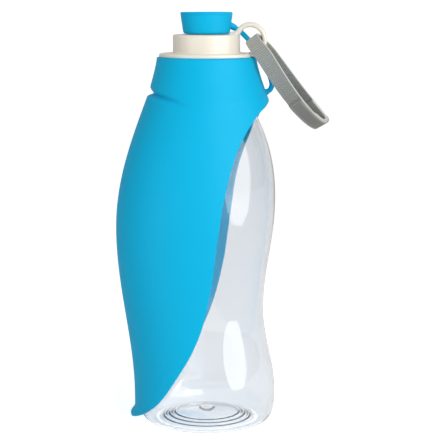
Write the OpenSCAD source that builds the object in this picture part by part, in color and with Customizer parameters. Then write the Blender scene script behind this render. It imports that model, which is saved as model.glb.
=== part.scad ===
// Dog travel water bottle: a waisted clear bottle, a silicone sleeve whose leaf wraps the
// bottle and folds out into a drinking trough, a screw cap with a carrying eye, a pull-out
// plug on a tether and a webbing strap. Millimetres, +Z up, bottle axis at the origin,
// resting on z = 0. The leaf's spine lies towards -X and the carrying eye towards +X.

/* [Bottle] */
// Radius of the flat ring that the bottle stands on, at its outer edge
foot_r = 28; // [24:0.5:31]
// Width of that flat ring
foot_w = 2; // [1:0.5:4]
// Height of the dome pushed up into the base
dome_h = 11; // [6:0.5:13]
// Radius of the lower bulge
bulge_r = 36.8; // [34:0.2:37]
// Height of the lower bulge
bulge_z = 16; // [12:1:22]
// Radius of the waist
waist_r = 30.5; // [28:0.5:33]
// Height of the waist
waist_z = 62; // [54:1:70]
// Radius of the upper bulge
shoulder_r = 36.7; // [34:0.2:37]
// Height of the upper bulge, where the shoulder starts
shoulder_z = 120; // [112:1:126]
// Thickness of the bottle wall
bottle_wall = 1; // [0.8:0.1:1.6]

/* [Neck] */
// Outer radius of the neck that the cap screws onto
neck_r = 15.6; // [14.5:0.1:16]
// Thickness of the neck wall
neck_wall = 2.1; // [1.6:0.1:3]
// Height at which the shoulder runs into the neck
neck_z = 183; // [180:0.5:188]
// Radius of the ring on the neck that carries the sleeve
ledge_r = 20; // [18.5:0.5:21.5]
// Thickness of that ring
ledge_h = 2.6; // [2:0.2:4]
// Length of the neck above the sleeve
finish_h = 9.1; // [8:0.1:12]

/* [Sleeve] */
// Height of the top face of the sleeve
sleeve_z = 196.4; // [194:0.2:199]
// Radius of the sleeve at its top
sleeve_top_r = 26.3; // [26:0.1:27.5]
// Wall of the sleeve and leaf
sleeve_wall = 1.8; // [1.4:0.1:2.2]
// Thickness of the sleeve's top disc, clamped under the cap
disc_t = 2; // [1.6:0.2:2.6]
// Height at which the skirt turns into the leaf
skirt_z = 174.5; // [170:0.5:176]
// Radius of the skirt on the spine side
skirt_spine_r = 32; // [31:0.2:33.5]
// Radius of the skirt at its front, opposite the spine
skirt_front_r = 32.9; // [32:0.2:34]
// Height of the fold line round the spine
crease_z = 177.4; // [176.4:0.2:179]
// Depth of the fold line
crease_d = 2.6; // [1:0.2:3]
// How much lower the fold line runs at the flanks than at the spine
crease_drop = 8; // [2:1:10]

/* [Leaf] */
// Height at which the leaf is widest
belly_z = 105; // [98:1:110]
// Gap between the leaf and the upper bulge at the spine, at the leaf's widest
belly_spine_gap = 10.2; // [7.5:0.1:13.5]
// The same gap at the flanks
belly_flank_gap = 2.3; // [1.7:0.1:5.5]
// Height at which the lower leaf runs straight down
tail_z = 12; // [8:1:18]
// Gap between the leaf and the lower bulge at the spine
tail_spine_gap = 0.7; // [0.6:0.1:3.4]
// The same gap at the flanks
tail_flank_gap = 1.2; // [1:0.1:3.4]
// Height of the free edge at the front of the skirt
edge_top_z = 173.5; // [172:0.5:176]
// Height of the tip of the leaf
edge_tip_z = 2.6; // [2:0.2:6]
// How far the lip at the tip turns out
lip_out = 2.4; // [0.5:0.1:3.5]
// Height of the middle bend on the spine
bend_z = 112; // [108:1:116]
// Height of the lower bend on the spine
curl_z = 56; // [50:1:62]
// Distance of each bend line outside the spine
bend_out = 0.6; // [0.4:0.1:1.2]
// Slope of the upper seam, drop over run
fold_slope = 1.25; // [1.15:0.05:1.4]
// Slope of the middle seam, drop over run
bend_slope = 0.46; // [0.35:0.02:0.6]
// Slope of the lower seam, drop over run
curl_slope = 0.38; // [0.25:0.02:0.5]

/* [Cap] */
// Outer radius of the cap
cap_r = 17.8; // [17.5:0.1:18.6]
// Radius of the cap's flange
flange_r = 25.1; // [24:0.1:25.6]
// Thickness of the flange
flange_t = 2; // [1.6:0.1:2.6]
// Thickness of the cap's top plate
cap_top_t = 1.8; // [1.6:0.1:2.5]
// Thickness of the sealing ring under the top plate
seal_t = 1; // [0.8:0.1:2]
// Outer radius of the spout
spout_r = 9.9; // [9:0.1:10.4]
// Bore radius of the spout
spout_bore_r = 6; // [5:0.1:7]
// Height of the spout above the cap
spout_h = 6.6; // [5:0.2:7.4]
// Rounding of the cap's upper rim
cap_round = 1.2; // [0.4:0.1:1.6]

/* [Carrying eye] */
// Angle of the eye round the cap, towards the front
eye_turn = 20; // [10:1:24]
// Distance of the eye's centre from the bottle axis
eye_x = 24.5; // [24.3:0.1:25]
// Height of the eye's centre above the flange's underside
eye_up = 9.4; // [9.3:0.1:9.6]
// Radius of the eye along the middle of its bar
eye_r = 7.8; // [7.6:0.1:8]
// Thickness of the eye's bar
eye_bar = 2.8; // [2.2:0.1:2.9]
// Radius of the curve that leads the eye out of the cap's top
eye_neck_r = 5; // [4.6:0.1:5.2]

/* [Plug] */
// Radius of the plug at its top
plug_top_r = 14; // [13:0.2:15]
// Radius of the plug at its foot
plug_foot_r = 12.2; // [11.8:0.1:12.4]
// Height of the plug
plug_h = 11.4; // [10:0.2:13]
// Gap under the plug's rim
plug_gap = 0.3; // [0.2:0.1:0.8]
// Length of the plug's stem inside the spout
stem_h = 6; // [4:0.2:7]
// Thickness of the tether
tether_d = 2.4; // [2:0.1:2.6]

/* [Strap] */
// Width of the webbing
strap_w = 9.4; // [8:0.2:9.6]
// Thickness of the webbing
strap_t = 1.1; // [0.8:0.1:1.3]
// Length of the strap from fold to end
strap_len = 57; // [50:1:70]
// Half the distance between the strap's two runs
strap_gap = 5.9; // [5.6:0.1:7]
// Thickness of the sewn overlap at the strap's end
overlap_t = 0.9; // [0.6:0.1:1.2]

/* [Fits] */
// Radial clearance of the cap on the neck and of the plug on the spout
fit = 0.05; // [0.02:0.01:0.1]
// Clearance between soft pieces
soft_gap = 0.3; // [0.3:0.05:0.6]
// Clearance between the sleeve's disc and the neck
disc_fit = 0.3; // [0.2:0.1:0.8]

/* [Hidden] */
$fn = 96;

silicone_blue = "#00aee0";
cap_cream = "#f2ece0";
webbing_gray = "#949590";
clear_plastic = [0.85, 0.88, 0.92, 0.35];

// Heights of the stack on the neck, from the sleeve's top face
ledge_top = sleeve_z - disc_t;
neck_top = sleeve_z + finish_h;
cap_under = neck_top + seal_t;
cap_top = cap_under + cap_top_t;
plug_z = cap_top + plug_gap;

// ---- Bottle -------------------------------------------------------------------------

shoulder_power = 2.3;
base_power = 2.9;
wave_steps = 14;

// Outer radius of the bottle's body at height z, between the bulges and the neck
function bottle_r(z) =
    z < waist_z
    ? waist_r + (bulge_r - waist_r) * (1 + cos(180 * (z - bulge_z) / (waist_z - bulge_z))) / 2
    : z < shoulder_z
    ? waist_r + (shoulder_r - waist_r) * (1 - cos(180 * (z - waist_z) / (shoulder_z - waist_z))) / 2
    : shoulder_r - (shoulder_r - neck_r)
        * pow((z - shoulder_z) / (neck_z - shoulder_z), shoulder_power);

// Rounded corner from the foot ring up to the lower bulge
function base_corner(inset) = [
    for (i = [0:8])
        let (a = 90 * i / 8, p = 2 / base_power)
        [
            foot_r + (bulge_r - inset - foot_r) * pow(sin(a), p),
            bulge_z - (bulge_z - inset) * pow(cos(a), p)
        ]
];

function body_wave(inset) = [
    for (i = [1:wave_steps * 3])
        let (z = bulge_z + (neck_z - bulge_z) * i / (wave_steps * 3))
        [max(bottle_r(z), neck_r) - inset, z]
];

function base_dome(lift) = [
    for (i = [0:6])
        let (r = (foot_r - foot_w) * i / 6)
        [r, lift + dome_h * (1 - pow(i / 6, 2.2))]
];

module bottle() {
    color(clear_plastic)
    rotate_extrude()
    polygon(concat(
        base_dome(0),
        base_corner(0),
        body_wave(0),
        [
            [neck_r, ledge_top - ledge_h],
            [ledge_r, ledge_top - ledge_h],
            [ledge_r, ledge_top],
            [neck_r, ledge_top],
            [neck_r, neck_top],
            [neck_r - neck_wall, neck_top],
            [neck_r - neck_wall, neck_z]
        ],
        reverse(body_wave(bottle_wall), 3),
        reverse(base_corner(bottle_wall)),
        reverse(base_dome(bottle_wall))
    ));
}

function reverse(list, skip = 0) = [for (i = [len(list) - 1 - skip:-1:0]) list[i]];

// ---- Sleeve and leaf ----------------------------------------------------------------
// The sleeve is one silicone moulding. Round the bottle, phi runs from 0 at the front of
// the skirt (+X) through the flank to 180 at the spine (-X).

skirt_power = 1.3;
skirt_flank_r = skirt_spine_r + 0.3;

// The leaf's outer face at its belly and its tail, outside the bottle's two bulges
belly_spine_r = shoulder_r + belly_spine_gap + sleeve_wall;
belly_flank_r = shoulder_r + belly_flank_gap + sleeve_wall;
tail_spine_r = bulge_r + tail_spine_gap + sleeve_wall;
tail_flank_r = bulge_r + tail_flank_gap + sleeve_wall;

// Distance of the sleeve from the axis at height z, for a skirt, belly and tail radius
function sleeve_curve(z, skirt, belly, tail) =
    z > skirt_z
    ? sleeve_top_r + (skirt - sleeve_top_r)
        * pow(max(sleeve_z - z, 0) / (sleeve_z - skirt_z), skirt_power)
    : z > belly_z
    ? skirt + (belly - skirt) * sin(90 * (skirt_z - z) / (skirt_z - belly_z))
    : z > tail_z
    ? tail + (belly - tail) * (1 + cos(180 * (belly_z - z) / (belly_z - tail_z))) / 2
    : tail;

crease_w = 1.6;
lip_w = 2.2;
lip_rise = 1;

// Depth of the fold line; it runs lower towards the flanks and fades out there
function crease(phi, z) =
    let (line = crease_z - crease_drop * (1 + cos(phi)))
    crease_d * exp(-pow((z - line) / crease_w, 2)) * max(-cos(phi), 0);

function lip(phi, z) =
    lip_out * exp(-pow((z - edge_tip_z - lip_rise) / lip_w, 2)) * pow(max(-cos(phi), 0), 4);

function along_x(phi, z) =
    cos(phi) < 0
    ? sleeve_curve(z, skirt_spine_r, belly_spine_r, tail_spine_r) - crease(phi, z) + lip(phi, z)
    : sleeve_curve(z, skirt_front_r, belly_flank_r, tail_flank_r);

function along_y(z) = sleeve_curve(z, skirt_flank_r, belly_flank_r, tail_flank_r);

// Point of the sleeve; inset is how far it lies inside the outer face
function sleeve_point(phi, z, inset = 0) = [
    (along_x(phi, z) - inset) * cos(phi),
    (along_y(z) - inset) * sin(phi),
    z
];

// Free edge of the leaf: share of its height left at each angle from the front
edge_shape = [[0, 1], [23, 0.985], [41, 0.958], [58, 0.898], [70, 0.813], [78.4, 0.693],
    [82.4, 0.587], [87, 0.453], [95, 0.307], [111.5, 0.18], [137, 0.062], [180, 0]];

function edge_z(phi) =
    edge_tip_z + (edge_top_z - edge_tip_z) * smooth_lookup(min(phi, 360 - phi), edge_shape);

// Cubic curve through the points of a table, read at x
function smooth_lookup(x, t) =
    let (
        i = max([for (k = [0:len(t) - 2]) if (k == 0 || t[k][0] <= x) k]),
        s = (x - t[i][0]) / (t[i + 1][0] - t[i][0]),
        w = t[i + 1][0] - t[i][0],
        m0 = slope_at(i, t) * w,
        m1 = slope_at(i + 1, t) * w
    )
    (2 * s * s * s - 3 * s * s + 1) * t[i][1] + (s * s * s - 2 * s * s + s) * m0
    + (3 * s * s - 2 * s * s * s) * t[i + 1][1] + (s * s * s - s * s) * m1;

function slope_at(i, t) =
    i == 0 || i == len(t) - 1
    ? 0
    : (t[i + 1][1] - t[i - 1][1]) / (t[i + 1][0] - t[i - 1][0]);

// The bend lines, each parallel to Y just outside the spine: [x, z, slope of its seam]
fold_below_crease = 0.4;
fold_z = crease_z - fold_below_crease;
bends = [
    [-along_x(180, fold_z) - bend_out, fold_z, fold_slope],
    [-along_x(180, bend_z) - bend_out, bend_z, bend_slope],
    [-along_x(180, curl_z) - bend_out, curl_z, curl_slope]
];

// Height of a seam at angle phi: where the leaf meets the plane through its bend line
function seam_z(k, phi, z, n = 12) =
    n == 0
    ? z
    : seam_z(k, phi, bends[k][1] - bends[k][2] * (along_x(phi, z) * cos(phi) - bends[k][0]), n - 1);

function seam(k, phi) = k > 2 ? -1 : seam_z(k, phi, bends[k][1]);

// Angle at which a seam meets the free edge
min_flank_h = 1.5;
function seam_start(k) =
    [for (p = [60:0.25:170]) if (seam(k, p) - edge_z(p) > min_flank_h) p][0];

function leaf_bottom(k, phi) = max(edge_z(phi), seam(k + 1, phi) + soft_gap / 2);

half_columns = 15;
leaf_rows = 9;
column_crowding = 1.7;

function leaf_angles(k) =
    let (
        p0 = seam_start(k),
        half = [for (i = [0:half_columns]) p0 + (180 - p0) * pow(i / half_columns, column_crowding)]
    )
    concat(half, [for (i = [half_columns - 1:-1:0]) 360 - half[i]]);

// One stretch of the leaf, from seam k down to the next seam or the free edge
module leaf_stretch(k) {
    angles = leaf_angles(k);
    n = len(angles);
    m = leaf_rows + 1;
    function level(phi, j) =
        let (top = seam(k, phi) - soft_gap / 2)
        top + (leaf_bottom(k, phi) - top) * j / leaf_rows;
    outer = [for (p = angles) for (j = [0:leaf_rows]) sleeve_point(p, level(p, j))];
    inner = [for (p = angles) for (j = [0:leaf_rows]) sleeve_point(p, level(p, j), sleeve_wall)];
    s = n * m;
    skins = [
        for (i = [0:n - 2]) for (j = [0:m - 2])
            let (a = i * m + j, b = a + 1, c = a + m, d = c + 1)
            each [[a, b, d], [a, d, c], [a + s, d + s, b + s], [a + s, c + s, d + s]]
    ];
    rims = [
        for (i = [0:n - 2])
            let (a = i * m, c = a + m, b = a + m - 1, d = b + m)
            each [[a, c, c + s], [a, c + s, a + s], [b, d + s, d], [b, b + s, d + s]]
    ];
    ends = [
        for (j = [0:m - 2])
            let (a = j, b = j + 1, c = (n - 1) * m + j, d = c + 1)
            each [[a, b + s, b], [a, a + s, b + s], [c, d, d + s], [c, d + s, c + s]]
    ];
    polyhedron(concat(outer, inner), concat(skins, rims, ends), convexity = 6);
}

module leaf_upper() {
    color(silicone_blue)
    leaf_stretch(0);
}

module leaf_middle() {
    color(silicone_blue)
    leaf_stretch(1);
}

module leaf_tip() {
    color(silicone_blue)
    leaf_stretch(2);
}

collar_rows = 12;

// Angles round the collar: over its front, closer together where the free edge runs
// steeply, and round the back at the leaf's own angles, so that the seam fits
front_columns = 14;
collar_angles =
    let (
        p0 = seam_start(0),
        front = [for (i = [0:front_columns - 1]) p0 * sin(90 * i / front_columns)]
    )
    [each front, each leaf_angles(0), for (i = [front_columns - 1:-1:1]) 360 - front[i]];

function collar_bottom(phi) = max(edge_z(phi), seam(0, phi) + soft_gap / 2);

// The collar with its skirt, closed round the neck, and the disc that the cap clamps
module sleeve_collar() {
    n = len(collar_angles);
    rows = collar_rows;
    hole_r = neck_r + disc_fit;
    rings = [
        for (p = collar_angles)
            let (bottom = collar_bottom(p), under = ledge_top)
            concat(
                [[hole_r * cos(p), hole_r * sin(p), sleeve_z]],
                [for (j = [0:rows]) sleeve_point(p, sleeve_z + (bottom - sleeve_z) * j / rows)],
                [for (j = [rows:-1:0]) sleeve_point(p, under + (bottom - under) * j / rows, sleeve_wall)],
                [[hole_r * cos(p), hole_r * sin(p), under]]
            )
    ];
    m = len(rings[0]);
    color(silicone_blue)
    polyhedron(
        [for (ring = rings) each ring],
        [
            for (i = [0:n - 1]) for (j = [0:m - 1])
                let (
                    a = i * m + j,
                    b = i * m + (j + 1) % m,
                    c = ((i + 1) % n) * m + j,
                    d = ((i + 1) % n) * m + (j + 1) % m
                )
                each [[a, b, d], [a, d, c]]
        ],
        convexity = 6
    );
}

// ---- Cap, seal, plug and tether -----------------------------------------------------

bar_r = eye_bar / 2;
eye_z = sleeve_z + eye_up;
eye_foot = -95;
// The neck of the eye starts in the cap's top plate, just above its underside, and turns
// up into the ring
neck_bar_floor = 0.1;
neck_flare = 0.15;
neck_bar_z = cap_under + neck_bar_floor + bar_r + neck_flare;
eye_join = asin((neck_bar_z + eye_neck_r - eye_z) / (eye_r + eye_neck_r));
eye_neck_x = eye_x - (eye_r + eye_neck_r) * cos(eye_join);

module eye_arc(x, z, r, from, to, bar) {
    translate([x, 0, z])
    rotate([90, 0, 0])
    rotate([0, 0, from])
    rotate_extrude(angle = to - from)
    translate([r, 0])
    circle(r = bar, $fn = 32);
}

module carrying_eye() {
    rotate([0, 0, -eye_turn]) {
        eye_arc(eye_x, eye_z, eye_r, eye_foot, 180 - eye_join, bar_r);
        eye_arc(eye_neck_x, neck_bar_z + eye_neck_r, eye_neck_r, -90, -eye_join, bar_r + neck_flare);
    }
}

flange_round = 0.5;

// A quarter round from the side to the top of a turned rim, as profile points
function rim(r, z, round) = [
    for (a = [0:15:90])
        [r - round + round * cos(a), z - round + round * sin(a)]
];

module screw_cap() {
    color(cap_cream)
    union() {
        rotate_extrude()
        polygon(concat(
            [[neck_r + fit, sleeve_z], [flange_r, sleeve_z]],
            rim(flange_r, sleeve_z + flange_t, flange_round),
            [[cap_r, sleeve_z + flange_t]],
            rim(cap_r, cap_top, cap_round),
            [
                [spout_r, cap_top],
                [spout_r, cap_top + spout_h],
                [spout_bore_r, cap_top + spout_h],
                [spout_bore_r, cap_under],
                [neck_r + fit, cap_under]
            ]
        ));
        carrying_eye();
    }
}

module cap_seal() {
    color("#e4e2dc")
    translate([0, 0, neck_top])
    difference() {
        cylinder(r = neck_r - soft_gap, h = seal_t);
        translate([0, 0, -seal_t])
        cylinder(r = spout_bore_r, h = seal_t * 3);
    }
}

plug_round = 1;

module plug() {
    color(silicone_blue)
    rotate_extrude()
    polygon(concat(
        [[0, cap_top + spout_h - stem_h], [spout_bore_r - fit, cap_top + spout_h - stem_h]],
        [[spout_bore_r - fit, cap_top + spout_h], [spout_r + fit, cap_top + spout_h]],
        [[spout_r + fit, plug_z]],
        [
            for (a = [-90:15:0])
                [plug_foot_r - plug_round + plug_round * cos(a), plug_z + plug_round + plug_round * sin(a)]
        ],
        [
            for (a = [0:15:90])
                let (r = plug_round / 2)
                [plug_top_r - r + r * cos(a), plug_z + plug_h - r + r * sin(a)]
        ],
        [[0, plug_z + plug_h]]
    ));
}

// Route of the tether, from the plug's side down past the flange to the skirt: [x, z]
tether_y = 1;
tether_route = [[13.7, 212.4], [17.1, 210.3], [20.2, 207.6], [23.7, 203.6], [27.1, 199.2],
    [29.8, 194.6], [32.3, 189.4], [34, 184.9], [34.6, 181.8], [33.9, 179.4], [32.2, 178.1]];
tether_sides = 8;

module plug_tether() {
    n = len(tether_route);
    function heading(i) =
        let (d = tether_route[min(i + 1, n - 1)] - tether_route[max(i - 1, 0)])
        d / norm(d);
    rings = [
        for (i = [0:n - 1]) for (k = [0:tether_sides - 1])
            let (
                c = tether_route[i],
                h = heading(i),
                a = 360 * k / tether_sides,
                out = tether_d / 2 * cos(a)
            )
            [c[0] + h[1] * out, tether_y + tether_d / 2 * sin(a), c[1] - h[0] * out]
    ];
    walls = [
        for (i = [0:n - 2]) for (k = [0:tether_sides - 1])
            let (
                a = i * tether_sides + k,
                b = i * tether_sides + (k + 1) % tether_sides,
                c = a + tether_sides,
                d = b + tether_sides
            )
            each [[a, b, d], [a, d, c]]
    ];
    last = (n - 1) * tether_sides;
    color(silicone_blue)
    polyhedron(
        rings,
        concat(
            walls,
            [[for (k = [tether_sides - 1:-1:0]) k]],
            [[for (k = [0:tether_sides - 1]) last + k]]
        ),
        convexity = 4
    );
}

// ---- Strap --------------------------------------------------------------------------
// The webbing is a long closed loop through the eye, which it passes at strap_place, as a
// share of the eye's radius. Its run, its width and the way from its front run to its back
// run are three directions at right angles.

eye_centre = [eye_x * cos(eye_turn), -eye_x * sin(eye_turn), eye_z];
strap_place = [0.804, -0.3168, -0.6154];
strap_at = eye_centre + eye_r * strap_place;
strap_run = [0.626, 0.067, -0.777];
strap_side = [0.714, -0.45, 0.536];
strap_back = cross(strap_side, strap_run);
strap_twist = 14;
strap_head = 7.4;
// Where it passes through the eye the webbing is bunched: moved sideways and narrower
fold_shift = 2.2;
fold_squeeze = 0.28;
fold_reach = 6;
loop_power = 0.6;
strap_steps = 48;

function signed_power(v, p) = sign(v) * pow(abs(v), p);

// Middle of the webbing at angle a round the loop: [along the run, across to the back run]
function strap_path(a, out = 0) = [
    strap_len / 2 - strap_head - (strap_len / 2 + out) * cos(a),
    (strap_gap + out) * signed_power(-sin(a), loop_power)
];

// A point of the strap: q is [along, across], v is the place across the width
function strap_point(q, v) =
    let (
        share = min(max(q[0] / (strap_len - strap_head), 0), 1),
        t = -strap_twist * share,
        fold = pow(min(max((fold_reach - q[0]) / (fold_reach + strap_head), 0), 1), 1.5),
        across = v * (1 - fold_squeeze * fold) - fold_shift * fold,
        side = strap_side * cos(t) + strap_back * sin(t),
        back = strap_back * cos(t) - strap_side * sin(t)
    )
    strap_at + strap_run * q[0] + back * q[1] + side * across;

// A band of webbing from angle a0 to a1 of the loop, between two depths of its thickness
module band(a0, a1, steps, inside, outside, width) {
    closed = a1 - a0 == 360;
    n = closed ? steps : steps + 1;
    points = [
        for (i = [0:n - 1])
            let (a = a0 + (a1 - a0) * i / steps)
            each [
                strap_point(strap_path(a, outside), -width / 2),
                strap_point(strap_path(a, outside), width / 2),
                strap_point(strap_path(a, inside), width / 2),
                strap_point(strap_path(a, inside), -width / 2)
            ]
    ];
    walls = [
        for (i = [0:closed ? n - 1 : n - 2]) for (k = [0:3])
            let (
                next = (i + 1) % n,
                a = i * 4 + k,
                b = i * 4 + (k + 1) % 4,
                c = next * 4 + k,
                d = next * 4 + (k + 1) % 4
            )
            each k == 2 ? [[a, b, c], [b, d, c]] : [[a, b, d], [a, d, c]]
    ];
    caps = closed ? [] : [[3, 2, 1, 0], [for (k = [0:3]) (n - 1) * 4 + k]];
    polyhedron(points, concat(walls, caps), convexity = 6);
}

module strap_webbing() {
    color(webbing_gray)
    band(0, 360, strap_steps, -strap_t / 2, strap_t / 2, strap_w);
}

// The overlap starts and ends at stations of the webbing, so that the two lie face to face
station = 360 / strap_steps;
overlap_from = 15 * station;
overlap_to = 31 * station;

module strap_overlap() {
    color(webbing_gray)
    band(overlap_from, overlap_to, 16, strap_t / 2, strap_t / 2 + overlap_t, strap_w);
}

bottle();
sleeve_collar();
leaf_upper();
leaf_middle();
leaf_tip();
screw_cap();
cap_seal();
plug();
plug_tether();
strap_webbing();
strap_overlap();
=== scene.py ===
"""Looks of a dog travel water bottle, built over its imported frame.

The bottle stands at the origin with its axis along +Z. The leaf's spine lies towards -X,
the carrying eye and the strap towards +X, and the camera looks along +Y. Sizes are in
metres and angles in degrees. Each piece has its own operator, and main() runs them.
"""

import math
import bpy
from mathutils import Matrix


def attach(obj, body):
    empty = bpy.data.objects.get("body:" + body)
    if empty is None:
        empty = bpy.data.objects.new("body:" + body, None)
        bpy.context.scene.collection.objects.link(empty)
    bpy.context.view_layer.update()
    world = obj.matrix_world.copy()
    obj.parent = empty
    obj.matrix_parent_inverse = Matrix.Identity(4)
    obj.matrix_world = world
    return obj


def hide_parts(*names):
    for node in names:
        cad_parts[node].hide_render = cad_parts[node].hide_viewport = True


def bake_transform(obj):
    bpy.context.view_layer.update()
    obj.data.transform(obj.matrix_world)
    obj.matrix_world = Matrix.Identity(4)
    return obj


bl_info = {
    "name": "Dog Travel Water Bottle",
    "version": (1, 0, 0),
    "blender": (4, 5, 0),
    "location": "View3D > Sidebar > Water Bottle",
    "description": "Builds a clear water bottle with a silicone sleeve that folds out as a trough",
    "category": "Object",
}

import bmesh
import bpy
from bpy.props import FloatProperty, FloatVectorProperty, PointerProperty
from mathutils import Vector

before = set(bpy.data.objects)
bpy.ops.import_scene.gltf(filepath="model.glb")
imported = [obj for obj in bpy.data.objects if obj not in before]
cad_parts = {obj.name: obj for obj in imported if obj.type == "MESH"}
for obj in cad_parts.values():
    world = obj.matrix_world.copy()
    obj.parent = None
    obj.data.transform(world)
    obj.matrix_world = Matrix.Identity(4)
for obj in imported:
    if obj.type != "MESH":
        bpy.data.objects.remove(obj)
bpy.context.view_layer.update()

MM = 0.001


# ---- Settings --------------------------------------------------------------------------


def length(name, millimetres, description):
    """A length setting whose default is given in millimetres."""
    size = millimetres * MM
    return FloatProperty(
        name=name, description=description, default=size, min=0.0, unit="LENGTH", precision=5
    )


def colour(name, value, description):
    """A colour setting, in linear red, green and blue."""
    return FloatVectorProperty(
        name=name, description=description, default=value, size=3, min=0.0, max=1.0, subtype="COLOR"
    )


class BottleSettings(bpy.types.PropertyGroup):
    """Sizes and colour of the clear bottle."""

    foot_r: length("Foot radius", 28, "Outer edge of the ring that the bottle stands on")
    dome_r: length("Dome radius", 26, "Radius of the dome pushed up into the base")
    dome_h: length("Dome height", 5, "Height of the dome pushed up into the base")
    bulge_r: length("Lower bulge", 36.8, "Radius of the lower bulge")
    bulge_z: length("Lower bulge height", 16, "Height of the lower bulge")
    waist_r: length("Waist", 30.5, "Radius of the waist")
    waist_z: length("Waist height", 62, "Height of the waist")
    shoulder_r: length("Upper bulge", 36.7, "Radius of the upper bulge")
    shoulder_z: length("Shoulder", 120, "Height of the upper bulge, where the shoulder starts")
    neck_r: length("Neck", 15.6, "Outer radius that the cap turns on")
    neck_z: length("Neck height", 183, "Height where the shoulder meets the neck")
    ledge_r: length("Neck ring", 20, "Radius of the ring that carries the sleeve")
    ledge_h: length("Neck ring thickness", 2.6, "Thickness of the ring that carries the sleeve")
    finish_h: length("Neck length", 9.1, "Length of the neck above the sleeve")
    wall: length("Wall", 1, "Thickness of the bottle wall")
    tint: colour("Plastic", (0.81, 0.83, 0.85), "Tint of the clear plastic")


class SleeveSettings(bpy.types.PropertyGroup):
    """Sizes and colour of the silicone sleeve and its leaf."""

    top_z: length("Top", 196.4, "Height of the sleeve's top face")
    top_r: length("Top radius", 26.3, "Radius of the sleeve at its top")
    wall: length("Wall", 1.8, "Thickness of the silicone")
    disc_t: length("Disc", 2, "Thickness of the disc under the cap")
    hole_r: length("Hole", 15.9, "Radius of the hole round the neck")
    skirt_z: length("Skirt end", 174.5, "Height where the skirt turns into the leaf")
    skirt_spine_r: length("Skirt spine", 32, "Radius of the skirt on the spine side")
    skirt_front_r: length("Skirt front", 32.9, "Radius of the skirt at its front")
    skirt_flank_r: length("Skirt flank", 32.3, "Radius of the skirt at its flanks")
    belly_z: length("Belly height", 105, "Height where the leaf is widest")
    belly_spine_r: length("Belly spine", 48.7, "Distance of the spine from the axis at its widest")
    belly_flank_r: length("Belly flank", 40.8, "Half the width of the leaf across its flanks")
    tail_z: length("Tail height", 12, "Height where the lower leaf runs straight down")
    tail_spine_r: length("Tail spine", 39.3, "Distance of the spine from the axis at the tail")
    tail_flank_r: length("Tail flank", 39.8, "Half the width across the flanks at the tail")
    edge_top_z: length("Edge top", 173.5, "Height of the free edge at the front")
    tip_z: length("Tip", 2.6, "Height of the tip of the leaf")
    crease_z: length("Fold line", 177.4, "Height of the fold line round the spine")
    crease_d: length("Fold depth", 2.9, "Depth of the fold line")
    crease_drop: length("Fold drop", 8, "How much lower the fold line runs at the flanks")
    lip_out: length("Lip", 2.4, "How far the lip at the tip turns out")
    rim_round: length("Edge rounding", 0.5, "How far the rounded free edge stands proud")
    silicone: colour("Silicone", (0.0, 0.465, 0.775), "Colour of the silicone")


class CapSettings(bpy.types.PropertyGroup):
    """Sizes and colours of the cap, its eye, the seal, the plug and the tether."""

    wall_r: length("Cap radius", 17.8, "Outer radius of the cap")
    flange_r: length("Flange radius", 25.1, "Radius of the cap's flange")
    flange_t: length("Flange thickness", 2, "Thickness of the flange")
    top_t: length("Top plate", 1.8, "Thickness of the cap's top plate")
    seal_t: length("Seal", 1, "Thickness of the sealing ring")
    spout_r: length("Spout", 9.9, "Outer radius of the spout")
    bore_r: length("Spout bore", 6, "Bore radius of the spout")
    spout_h: length("Spout height", 6.6, "Height of the spout above the cap")
    eye_x: length("Eye distance", 24.5, "Distance of the eye's centre from the axis")
    eye_up: length("Eye height", 9.4, "Height of the eye's centre above the flange")
    eye_r: length("Eye radius", 7.8, "Radius along the middle of the eye's bar")
    eye_bar: length("Eye bar", 2.8, "Thickness of the eye's bar")
    eye_neck_r: length("Eye neck", 5, "Radius of the curve that leads the eye out of the cap")
    plug_top_r: length("Plug top", 14, "Radius of the plug at its top")
    plug_foot_r: length("Plug foot", 12.2, "Radius of the plug at its foot")
    plug_h: length("Plug height", 11.4, "Height of the plug")
    tether_d: length("Tether", 2.7, "Thickness of the tether")
    plastic: colour("Cap plastic", (0.865, 0.815, 0.71), "Colour of the cap")
    seal: colour("Seal", (0.8, 0.79, 0.75), "Colour of the sealing ring")


class StrapSettings(bpy.types.PropertyGroup):
    """Sizes and colour of the webbing strap."""

    width: length("Width", 9.4, "Width of the webbing")
    thickness: length("Thickness", 1.1, "Thickness of the webbing")
    overlap_t: length("Overlap", 0.7, "Thickness of the sewn overlap")
    run: length("Length", 57.9, "Length of the strap from fold to end")
    gap: length("Near gap", 4.85, "How far the near run lies from the strap's middle")
    far_gap: length("Far gap", 2.97, "How far the far run lies from the strap's middle")
    rib: length("Rib pitch", 1.05, "Distance between the webbing's cross ribs")
    yarn: colour("Yarn", (0.35, 0.35, 0.325), "Colour of the webbing's yarn")


class StageSettings(bpy.types.PropertyGroup):
    """Camera, and the colour of the floor and backdrop."""

    distance: length("Camera distance", 807, "Distance of the camera from the bottle axis")
    height: length("Camera height", 229.1, "Height of the camera above the floor")
    side: length("Camera side", 7.1, "How far the camera stands to the right of the axis")
    tilt: FloatProperty(
        name="Camera tilt", description="Angle of the camera below the horizon", default=8.445
    )
    lens: FloatProperty(name="Lens", description="Focal length in millimetres", default=124.3)
    floor: colour("Floor", (0.9, 0.9, 0.9), "Colour of the floor and backdrop")


# ---- Curves and meshes -----------------------------------------------------------------


ON_AXIS = 1e-7
SAME_POINT = 1e-6
NO_LENGTH = 1e-7


def cos(degrees):
    """Cosine of an angle in degrees."""
    return math.cos(math.radians(degrees))


def sin(degrees):
    """Sine of an angle in degrees."""
    return math.sin(math.radians(degrees))


def between(a, b, share):
    """From a to b along half a cosine wave."""
    return b + (a - b) * (1 + cos(180 * share)) / 2


def smooth(share):
    """0 to 1 with level ends."""
    share = min(max(share, 0.0), 1.0)
    return share * share * (3 - 2 * share)


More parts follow.
